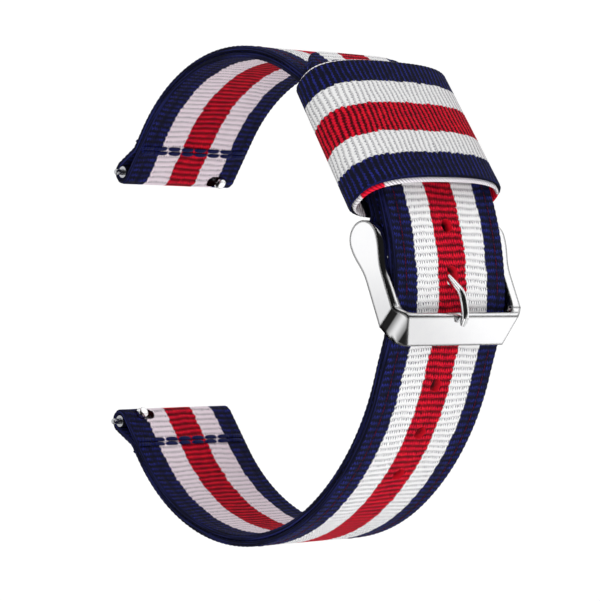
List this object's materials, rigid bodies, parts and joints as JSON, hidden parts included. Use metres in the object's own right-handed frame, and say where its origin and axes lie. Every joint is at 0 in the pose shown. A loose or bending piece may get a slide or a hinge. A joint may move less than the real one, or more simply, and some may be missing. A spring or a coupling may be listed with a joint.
{
  "type": "nylon watch strap",
  "caption": "Striped nylon watch strap shown buckled: two folded webbing straps with quick-release spring bars, a webbing keeper and a polished pin buckle.",
  "frame": {"origin": "centre of the round part of the loop, half way across the strap: the wrist's axis", "axes": "+Z across the strap, along the wearer's wrist, with the part lying on its side; +X from the watch gap towards the buckle; +Y towards the buckle strap"},
  "size_m": [0.062, 0.068, 0.0248],
  "materials": {
    "webbing": "ribbed nylon webbing striped navy, white and red along its length",
    "thread": "navy sewing thread",
    "polished": "mirror polished",
    "steel": "plain turned stainless steel"
  },
  "bodies": {
    "straps": {"buckle_strap": "webbing", "hole_strap": "webbing", "upper_lug_stitches": "thread", "lower_lug_stitches": "thread", "buckle_fold_stitches": "thread", "tail_tip_stitches": "thread", "buckle_bar_tube": "steel", "buckle_bar_spring": "steel", "upper_bar_tube": "steel", "upper_bar_fixed_tip": "steel", "upper_bar_spring": "steel", "lower_bar_tube": "steel", "lower_bar_fixed_tip": "steel", "lower_bar_spring": "steel"},
    "buckle": {"buckle_frame": "polished"},
    "tongue": {"buckle_tongue": "polished"},
    "keeper": {"keeper": "webbing", "keeper_stitches": "thread"},
    "upper_release": {"upper_bar_release_tip": "steel", "upper_bar_knob": "polished"},
    "lower_release": {"lower_bar_release_tip": "steel", "lower_bar_knob": "polished"},
    "near_tip": {"buckle_bar_near_tip": "steel"},
    "far_tip": {"buckle_bar_far_tip": "steel"}
  },
  "joints": [
    {"name": "buckle_hinge", "type": "hinge", "parent": "straps", "child": "buckle", "pos_m": [0.03263, 0.007, 0], "axis": [0, 0, 1], "range_deg": [-2, 4]},
    {"name": "tongue_hinge", "type": "hinge", "parent": "buckle", "child": "tongue", "pos_m": [0.03263, 0.007, 0], "axis": [0, 0, 1], "range_deg": [0, 3.5]},
    {"name": "keeper_slide", "type": "hinge", "parent": "straps", "child": "keeper", "pos_m": [0, 0, 0], "axis": [0, 0, 1], "range_deg": [-1, 8]},
    {"name": "upper_release_slide", "type": "slide", "parent": "straps", "child": "upper_release", "axis": [0, 0, 1], "range_m": [0, 0.0013], "stiffness_N_per_m": 300, "deforming": ["upper_bar_spring"]},
    {"name": "lower_release_slide", "type": "slide", "parent": "straps", "child": "lower_release", "axis": [0, 0, -1], "range_m": [0, 0.0013], "stiffness_N_per_m": 300, "deforming": ["lower_bar_spring"]},
    {"name": "near_tip_slide", "type": "slide", "parent": "straps", "child": "near_tip", "axis": [0, 0, -1], "range_m": [0, 0.00105], "stiffness_N_per_m": 300, "deforming": ["buckle_bar_spring"]},
    {"name": "far_tip_slide", "type": "slide", "parent": "straps", "child": "far_tip", "axis": [0, 0, 1], "range_m": [0, 0.00105], "stiffness_N_per_m": 300, "deforming": ["buckle_bar_spring"]}
  ]
}
